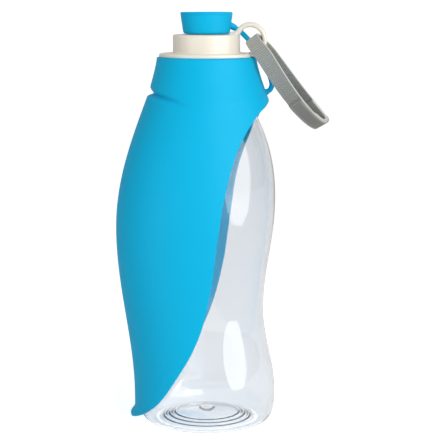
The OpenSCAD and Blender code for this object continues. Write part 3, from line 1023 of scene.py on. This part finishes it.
class BuildCap(bpy.types.Operator):
    """Build the screw cap with its flange and spout, and the carrying eye that grows out of it"""

    bl_idname = "water_bottle.cap"
    bl_label = "Cap and carrying eye"

    def execute(self, context):
        s = context.scene.bottle_cap
        base = context.scene.bottle_sleeve.top_z
        plastic = kept("moulded_cap_plastic", cap_plastic)
        under, top = cap_heights(context.scene)
        bore = context.scene.bottle_body.neck_r + PLAY
        flange_top = base + s.flange_t
        outline = fillet(
            [
                (bore, base, 0.3 * MM),
                (s.flange_r, base, 0.5 * MM),
                (s.flange_r, flange_top, 0.7 * MM),
                (s.wall_r, flange_top, 0.8 * MM),
                (s.wall_r, top, 1.2 * MM),
                (s.spout_r, top, 0.4 * MM),
                (s.spout_r, top + s.spout_h, 0.5 * MM),
                (s.bore_r, top + s.spout_h, 0.5 * MM),
                (s.bore_r, under, 0.3 * MM),
                (bore, under, 0.4 * MM),
            ]
        )
        body = lathe("screw_cap_body", outline, 200)
        finish(body, plastic, "cream_plastic", "screw_cap")
        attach(body, "cap")
        eye = self.carrying_eye(s, base, under)
        finish(eye, plastic, "cream_plastic")
        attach(eye, "cap")
        return {"FINISHED"}

    def carrying_eye(self, s, base, under):
        """A bar that rises from the cap's rim and closes as a ring on the flange."""
        bar = s.eye_bar / 2
        centre_z = base + s.eye_up
        neck_z = under + EYE_LIFT + bar + s.eye_neck_r
        join = math.degrees(math.asin((neck_z - centre_z) / (s.eye_r + s.eye_neck_r)))
        neck_x = s.eye_x - (s.eye_r + s.eye_neck_r) * cos(join)
        low = Vector((neck_x, neck_z - s.eye_neck_r))
        root = low - Vector((ROOT_BACK, ROOT_DOWN))
        ramp, bend, round_steps = 4, 16, 80
        path = [root.lerp(low, i / ramp) for i in range(ramp)]
        for i in range(bend):
            a = -90 + (90 - join) * i / bend
            path.append((neck_x + s.eye_neck_r * cos(a), neck_z + s.eye_neck_r * sin(a)))
        for i in range(round_steps + 1):
            a = 180 - join + (EYE_FOOT - 180 + join) * i / round_steps
            path.append((s.eye_x + s.eye_r * cos(a), centre_z + s.eye_r * sin(a)))
        turn = Vector((cos(EYE_TURN), -sin(EYE_TURN), 0))
        side = Vector((sin(EYE_TURN), cos(EYE_TURN), 0))

        def radius(share):
            """Thin at the root inside the cap, thickest just outside it."""
            rise = min(share * (len(path) - 1) / ramp, 1)
            swell = 1 + 0.25 * (1 - smooth(share * 5))
            return bar * (ROOT_SHARE + (1 - ROOT_SHARE) * rise) * swell

        path = [turn * x + Vector((0, 0, z)) for x, z in path]
        return tube("carrying_eye", path, radius, 28, side)


class BuildPlug(bpy.types.Operator):
    """Build the pull-out plug with its stem, and the sealing ring inside the cap"""

    bl_idname = "water_bottle.plug"
    bl_label = "Plug and seal"

    def execute(self, context):
        s = context.scene.bottle_cap
        under, top = cap_heights(context.scene)
        foot = top + PLUG_GAP
        head = foot + s.plug_h
        spout_top = top + s.spout_h
        stem_end = spout_top - STEM_LENGTH
        line_z = head - LINE_DOWN
        line_r = s.plug_top_r - (s.plug_top_r - s.plug_foot_r) / s.plug_h * LINE_DOWN
        outline = fillet(
            [
                (0, stem_end),
                (s.bore_r - PLAY, stem_end, 0.6 * MM),
                (s.bore_r - PLAY, spout_top, 0.2 * MM),
                (s.spout_r + PLAY, spout_top, 0.2 * MM),
                (s.spout_r + PLAY, foot, 0.4 * MM),
                (s.plug_foot_r, foot, 1.5 * MM),
                (line_r - 0.08 * MM, line_z - LINE_HALF, 0.1 * MM),
                (line_r - 0.22 * MM, line_z, 0.1 * MM),
                (line_r + 0.04 * MM, line_z + LINE_HALF, 0.1 * MM),
                (s.plug_top_r, head, 0.8 * MM),
                (s.plug_top_r - 2 * MM, head, 0.4 * MM),
                (s.plug_top_r - 2.5 * MM, head - PLUG_DISH, 0.3 * MM),
                (0, head - PLUG_DISH),
            ],
            support=0.03 * MM,
        )
        plug = lathe("plug_body", outline)
        finish(plug, kept("satin_silicone", soft_silicone), "blue_silicone", "plug")
        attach(plug, "plug")
        neck_top = under - s.seal_t
        ring_r = context.scene.bottle_body.neck_r - SEAL_INSET
        corners = ((s.bore_r, neck_top), (ring_r, neck_top), (ring_r, under), (s.bore_r, under))
        seal = lathe("seal_ring", fillet([(*corner, 0.25 * MM) for corner in corners]))
        finish(seal, kept("seal_rubber", seal_rubber), "white_seal", "cap_seal")
        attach(seal, "seal")
        return {"FINISHED"}


class BuildTether(bpy.types.Operator):
    """Build the tether that holds the plug to the sleeve, in two lengths"""

    bl_idname = "water_bottle.tether"
    bl_label = "Tether"

    def execute(self, context):
        s = context.scene.bottle_cap
        silicone = kept("satin_silicone", soft_silicone)
        route = [Vector((x * MM, TETHER_Y, z * MM)) for x, z in TETHER_ROUTE]
        path = curve_through(route, 8)
        meet = next(i for i, p in enumerate(path) if p.z < TETHER_SPLIT)
        r = s.tether_d / 2

        def upper(share):
            """Thicker where it leaves the plug."""
            return r * (1 + 0.3 * (1 - smooth((share - 0.22) * 12)))

        def lower(share):
            """Thicker where it joins the sleeve."""
            return r * (1 + 0.35 * smooth((share - 0.78) * 6))

        top = tube("tether_top", path[: meet + 1], upper)
        finish(top, silicone, "blue_silicone", "plug_tether")
        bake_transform(top)
        foot = tube("tether_foot", path[meet:], lower)
        finish(foot, silicone, "blue_silicone")
        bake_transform(foot)
        return {"FINISHED"}


# ---- Strap -----------------------------------------------------------------------------

# Where the strap passes the eye, from the eye's middle; then along its length, across its
# width and towards its far run
STRAP_PLACE = Vector((0.804, -0.3168, -0.6154))
STRAP_RUN = Vector((0.626, 0.067, -0.777))
STRAP_SIDE = Vector((0.714, -0.45, 0.536))
STRAP_BACK = STRAP_SIDE.cross(STRAP_RUN)
# How it hangs: its turn at the fold, its twist down to the end, and its bow
STRAP_ROLL = 7.15
STRAP_TWIST = 25.1
STRAP_BOW = -2.1 * MM
# How squarely the loop turns at its two ends
LOOP_POWER = 0.6
# The fold: how far it stands past the eye, and how the webbing is pulled together there
STRAP_HEAD = 7.8 * MM
FOLD_SHIFT = 0.84 * MM
FOLD_SQUEEZE = 0.14
FOLD_REACH = 6 * MM
RIB_DEPTH = 0.32 * MM
PLAIN_EDGE = 0.9 * MM
# Share of a cut band's length over which its end thins, and its thickness at the cut
CUT_REACH, CUT_THIN = 0.04, 0.35
# Angles round the loop between which the two sewn layers lie
OUTER_LAYER = (110, 204)
INNER_LAYER = (237, 140)
# The layers' gap to the band, and how much narrower than it they are
LAYER_GAP, LAYER_NARROWER = 0.02 * MM, 0.1 * MM
# Angles of the row across, and of the rows along the edges from start to end
ROW_ACROSS, ROWS_START, ROWS_END = 112.4, 113.4, 166
STITCH_INSET = 1.1 * MM
STITCH_R, STITCH_BOW, STITCH_GAP = 0.17 * MM, 0.1 * MM, 0.12


def strap_origin(scene):
    """Where the strap passes the carrying eye."""
    s = scene.bottle_cap
    centre = Vector(
        (s.eye_x * cos(EYE_TURN), -s.eye_x * sin(EYE_TURN), scene.bottle_sleeve.top_z + s.eye_up)
    )
    return centre + s.eye_r * STRAP_PLACE


def strap_path(s, angle, out):
    """The webbing's middle round the loop, moved out: (along the run, across to the far run)."""
    wave = -sin(angle)
    across = math.copysign(abs(wave) ** LOOP_POWER, wave)
    gap = s.gap if across < 0 else s.far_gap
    return (s.run / 2 - STRAP_HEAD - (s.run / 2 + out) * cos(angle), (gap + out) * across)


def strap_point(scene, angle, depth, v):
    """A point of the strap: depth is out from the loop's middle, v across the width."""
    s = scene.bottle_strap
    along, across = strap_path(s, angle, depth)
    share = min(max(along / (s.run - STRAP_HEAD), 0), 1)
    turn = STRAP_ROLL - STRAP_TWIST * share
    across += STRAP_BOW * sin(180 * share)
    fold = min(max((FOLD_REACH - along) / (FOLD_REACH + STRAP_HEAD), 0), 1) ** 1.5
    wide = v * (1 - FOLD_SQUEEZE * fold) - FOLD_SHIFT * fold
    side = STRAP_SIDE * cos(turn) + STRAP_BACK * sin(turn)
    back = STRAP_BACK * cos(turn) - STRAP_SIDE * sin(turn)
    return strap_origin(scene) + STRAP_RUN * along + back * across + side * wide


def webbing_section(width, edge, steps=14):
    """Outline of the webbing: (place across the width, level from 1 to -1)."""
    flat, near = width / 2 - edge * 0.7, width / 2 - edge * 0.2
    half = [(flat * (2 * k / steps - 1), 1.0) for k in range(steps + 1)]
    half += [(near, 0.6), (width / 2, 0.0), (near, -0.6)]
    return half + [(-v, -level) for v, level in half]


def webbing_band(scene, name, angles, levels, width, steps, rib=0.0):
    """A band of webbing with rounded edges, between two angles and two depths of the loop."""
    s = scene.bottle_strap
    (start, end), (low, high) = angles, levels
    closed = end - start == 360
    edge, middle = (high - low) / 2, (low + high) / 2
    seat = min(high, low, key=abs)
    section = webbing_section(width, edge)
    size, count = len(section), steps if closed else steps + 1
    points, coordinates = [], []
    travelled, last = 0.0, None
    for i in range(count):
        angle = start + (end - start) * i / steps
        here = strap_path(s, angle, middle)
        travelled += math.dist(here, last or here)
        last = here
        thick = smooth(min(i, steps - i) / (CUT_REACH * steps))
        ease = 1.0 if closed else CUT_THIN + (1 - CUT_THIN) * thick
        groove = RIB_DEPTH * (cos(360 * travelled / rib) - 1) / 2 if rib else 0.0
        for v, level in section:
            inward = smooth((width / 2 - abs(v)) / PLAIN_EDGE) if abs(level) == 1.0 else 0.0
            depth = middle + level * (edge + groove * inward)
            points.append(strap_point(scene, angle, seat + (depth - seat) * ease, v))
            coordinates.append((travelled, v))
    faces = bands(count, size, closed)
    flat = []
    if not closed:
        flat = [len(faces), len(faces) + 1]
        faces += [list(range(size))[::-1], [(count - 1) * size + k for k in range(size)]]
    piece = add_object(name, points, faces, flat)
    layer = piece.data.uv_layers.new(name="Webbing")
    for loop in piece.data.loops:
        layer.data[loop.index].uv = coordinates[loop.vertex_index]
    return face_outward(piece, merge=False)


def stitch_rows(scene, depth, rows, sides=8, rings=7):
    """Stitches: small rounded threads; each row is its two ends (angle, v) and a count."""
    points, faces = [], []
    for (a0, v0), (a1, v1), count in rows:

        def spot(share, up=0.0):
            return strap_point(scene, a0 + (a1 - a0) * share, depth + up, v0 + (v1 - v0) * share)

        for n in range(count):
            foot, tip = spot((n + STITCH_GAP) / count), spot((n + 1 - STITCH_GAP) / count)
            run = tip - foot
            up = (spot((n + 0.5) / count, MM) - (foot + tip) / 2).normalized()
            side = run.cross(up).normalized()
            faces += rod(rings, sides, len(points))
            for j in range(rings):
                share = j / (rings - 1)
                thick = STITCH_R * math.sin(math.pi * (0.08 + 0.84 * share)) ** 0.5
                centre = foot + run * share + up * STITCH_BOW * math.sin(math.pi * share)
                points += ring(centre, side, up, thick, sides)
    return face_outward(add_object("strap_stitching", points, faces))


class BuildStrap(bpy.types.Operator):
    """Build the webbing strap with its ribs, its sewn overlap and the stitching"""

    bl_idname = "water_bottle.strap"
    bl_label = "Strap"

    def execute(self, context):
        scene = context.scene
        s = scene.bottle_strap
        half = s.thickness / 2
        ribbed = kept("ribbed_webbing", webbing_cloth, 1 / s.rib, RIBBED_THREADS, 1.0)
        webbing = webbing_band(scene, "strap_band", (0, 360), (-half, half), s.width, 1080, s.rib)
        finish(webbing, ribbed, "gray_webbing", "strap_webbing")
        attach(webbing, "strap")
        seat, outer, width = half + LAYER_GAP, half + s.overlap_t, s.width - LAYER_NARROWER
        # The overlap's yarn is darkened by 0.72: painted shade.
        plain = kept("plain_webbing_painted_shade", webbing_cloth, *FINE_WEAVE, 0.72)
        overlap = webbing_band(scene, "strap_sewn_end", OUTER_LAYER, (seat, outer), width, 240)
        finish(overlap, plain, "gray_webbing", "strap_overlap")
        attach(overlap, "strap")
        # The inner layer's yarn is lightened by 1.1, painted light, and a painted shadow lies where
        # it begins.
        painted_end_shadow = kept("plain_webbing_painted_light", webbing_cloth, *FINE_WEAVE, 1.1, True)
        lap = webbing_band(scene, "strap_inner_end", INNER_LAYER, (-outer, -seat), width, 160)
        finish(lap, painted_end_shadow, "gray_webbing")
        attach(lap, "strap")
        edge = s.width / 2 - STITCH_INSET
        rows = [((ROW_ACROSS, -edge), (ROW_ACROSS, edge), 6)]
        rows += [((ROWS_START, v), (ROWS_END, v), 12) for v in (edge, -edge)]
        threads = stitch_rows(scene, outer, rows)
        finish(threads, kept("sewing_thread", sewing_thread), "gray_webbing")
        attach(threads, "strap")
        return {"FINISHED"}


# ---- Stage -----------------------------------------------------------------------------


# Half the floor's width, where its bend starts behind the bottle, and the bend's radius
FLOOR_HALF, BEND_START, BEND_R = 3.0, 1.2, 0.8
WORLD_STRENGTH = 0.45
# Name, place, the point it is turned to, width, height and power; the strips are ellipses
# that only streak the bottle
LAMPS = (
    ("key", (0.55, -1.1, 0.7), (0, 0, 0.12), 0.8, 0.8, 11.0),
    ("fill", (-0.9, -0.8, 0.5), (0, 0, 0.12), 0.7, 0.9, 0.8),
    ("strip_right", (0.285, -0.22, 0.21), (0, 0, 0.12), 0.36, 0.46, 1.3),
    ("strip_left", (-0.3, -0.24, 0.08), (0, 0, 0.05), 0.16, 0.16, 0.3),
)


def pale_surface(name):
    """Floor and backdrop: matte, and near white where the camera, gloss or glass sees them."""
    material, tree, shader = new_material(name)
    path = add(tree, "ShaderNodeLightPath").outputs
    mirrored = maths(tree, "MULTIPLY", path["Is Glossy Ray"], 0.15)
    seen = maths(tree, "MAXIMUM", path["Is Camera Ray"], mirrored)
    seen = maths(tree, "MAXIMUM", seen, path["Is Transmission Ray"])
    feed_all(
        tree,
        shader,
        Base_Color=bpy.context.scene.bottle_stage.floor,
        Roughness=0.9,
        Specular_IOR_Level=0.1,
        Emission_Color=(1.0, 1.0, 1.0),
        Emission_Strength=maths(tree, "MULTIPLY", seen, 0.6),
    )
    return material


def area_lamp(name, place, aim, wide, high, power):
    """A soft lamp turned towards a point."""
    data = bpy.data.lights.new(name, "AREA")
    data.shape = "RECTANGLE"
    data.size, data.size_y = wide, high
    data.energy = power
    lamp = bpy.data.objects.new(name, data)
    lamp.location = place
    lamp.visible_camera = False
    lamp.rotation_euler = (Vector(aim) - Vector(place)).to_track_quat("-Z", "Y").to_euler()
    bpy.context.scene.collection.objects.link(lamp)
    if name.startswith("strip"):
        data.shape = "ELLIPSE"
        lamp.visible_diffuse = False


class BuildStage(bpy.types.Operator):
    """Build the pale floor and backdrop, the lamps, the world and the camera"""

    bl_idname = "water_bottle.stage"
    bl_label = "Stage"

    def execute(self, context):
        scene = context.scene
        s = scene.bottle_stage
        self.sweep()
        self.light(scene)
        data = bpy.data.cameras.new("camera")
        data.lens, data.sensor_width, data.clip_start = s.lens, 36.0, 0.05
        camera = bpy.data.objects.new("camera", data)
        camera.location = (s.side, -s.distance, s.height)
        camera.rotation_euler = (math.radians(90 - s.tilt), 0, 0)
        scene.collection.objects.link(camera)
        scene.camera = camera
        scene.view_settings.view_transform = "Standard"
        return {"FINISHED"}

    def sweep(self):
        """Floor that rises into a backdrop behind the bottle."""
        profile = [(-FLOOR_HALF, 0.0), (BEND_START, 0.0)]
        bend = range(5, 91, 5)
        profile += [(BEND_START + BEND_R * sin(a), BEND_R * (1 - cos(a))) for a in bend]
        profile.append((BEND_START + BEND_R, FLOOR_HALF))
        points = [(x, y, z) for y, z in profile for x in (-FLOOR_HALF, FLOOR_HALF)]
        faces = [[2 * i, 2 * i + 1, 2 * i + 3, 2 * i + 2] for i in range(len(profile) - 1)]
        stage = add_object("stage_sweep", points, faces)
        stage.data.materials.append(pale_surface("pale_floor"))

    def light(self, scene):
        """A broad key from the front right, strips that streak the bottle, and a plain world."""
        for lamp in LAMPS:
            area_lamp(*lamp)
        world = bpy.data.worlds.new("studio")
        scene.world = world
        world.use_nodes = True
        tree = world.node_tree
        seen = add(tree, "ShaderNodeLightPath").outputs["Is Camera Ray"]
        strength = maths(tree, "MULTIPLY", seen, 1 - WORLD_STRENGTH)
        strength = maths(tree, "ADD", strength, WORLD_STRENGTH)
        feed_all(tree, tree.nodes["Background"], Color=(1.0, 1.0, 1.0), Strength=strength)


# ---- Sidebar and registration ----------------------------------------------------------

BUILDERS = (BuildStage, BuildBottle, BuildSleeve, BuildCap, BuildPlug, BuildTether, BuildStrap)
SETTINGS = (
    ("bottle_body", BottleSettings),
    ("bottle_sleeve", SleeveSettings),
    ("bottle_cap", CapSettings),
    ("bottle_strap", StrapSettings),
    ("bottle_stage", StageSettings),
)


class BottlePanel(bpy.types.Panel):
    """Lists the pieces and their settings"""

    bl_idname = "VIEW3D_PT_water_bottle"
    bl_label = "Water Bottle"
    bl_space_type = "VIEW_3D"
    bl_region_type = "UI"
    bl_category = "Water Bottle"

    def draw(self, context):
        column = self.layout.column(align=True)
        for builder in BUILDERS:
            column.operator(builder.bl_idname)
        for name, settings in SETTINGS:
            box = self.layout.box()
            box.label(text=settings.__name__.replace("Settings", ""))
            values = getattr(context.scene, name)
            for field in settings.__annotations__:
                box.prop(values, field)


def register():
    for name, settings in SETTINGS:
        bpy.utils.register_class(settings)
        setattr(bpy.types.Scene, name, PointerProperty(type=settings))
    for builder in BUILDERS:
        bpy.utils.register_class(builder)
    bpy.utils.register_class(BottlePanel)


def unregister():
    bpy.utils.unregister_class(BottlePanel)
    for builder in reversed(BUILDERS):
        bpy.utils.unregister_class(builder)
    for name, settings in reversed(SETTINGS):
        delattr(bpy.types.Scene, name)
        bpy.utils.unregister_class(settings)


def main():
    register()
    for builder in BUILDERS:
        category, name = builder.bl_idname.split(".")
        getattr(getattr(bpy.ops, category), name)()


if __name__ == "__main__":
    main()
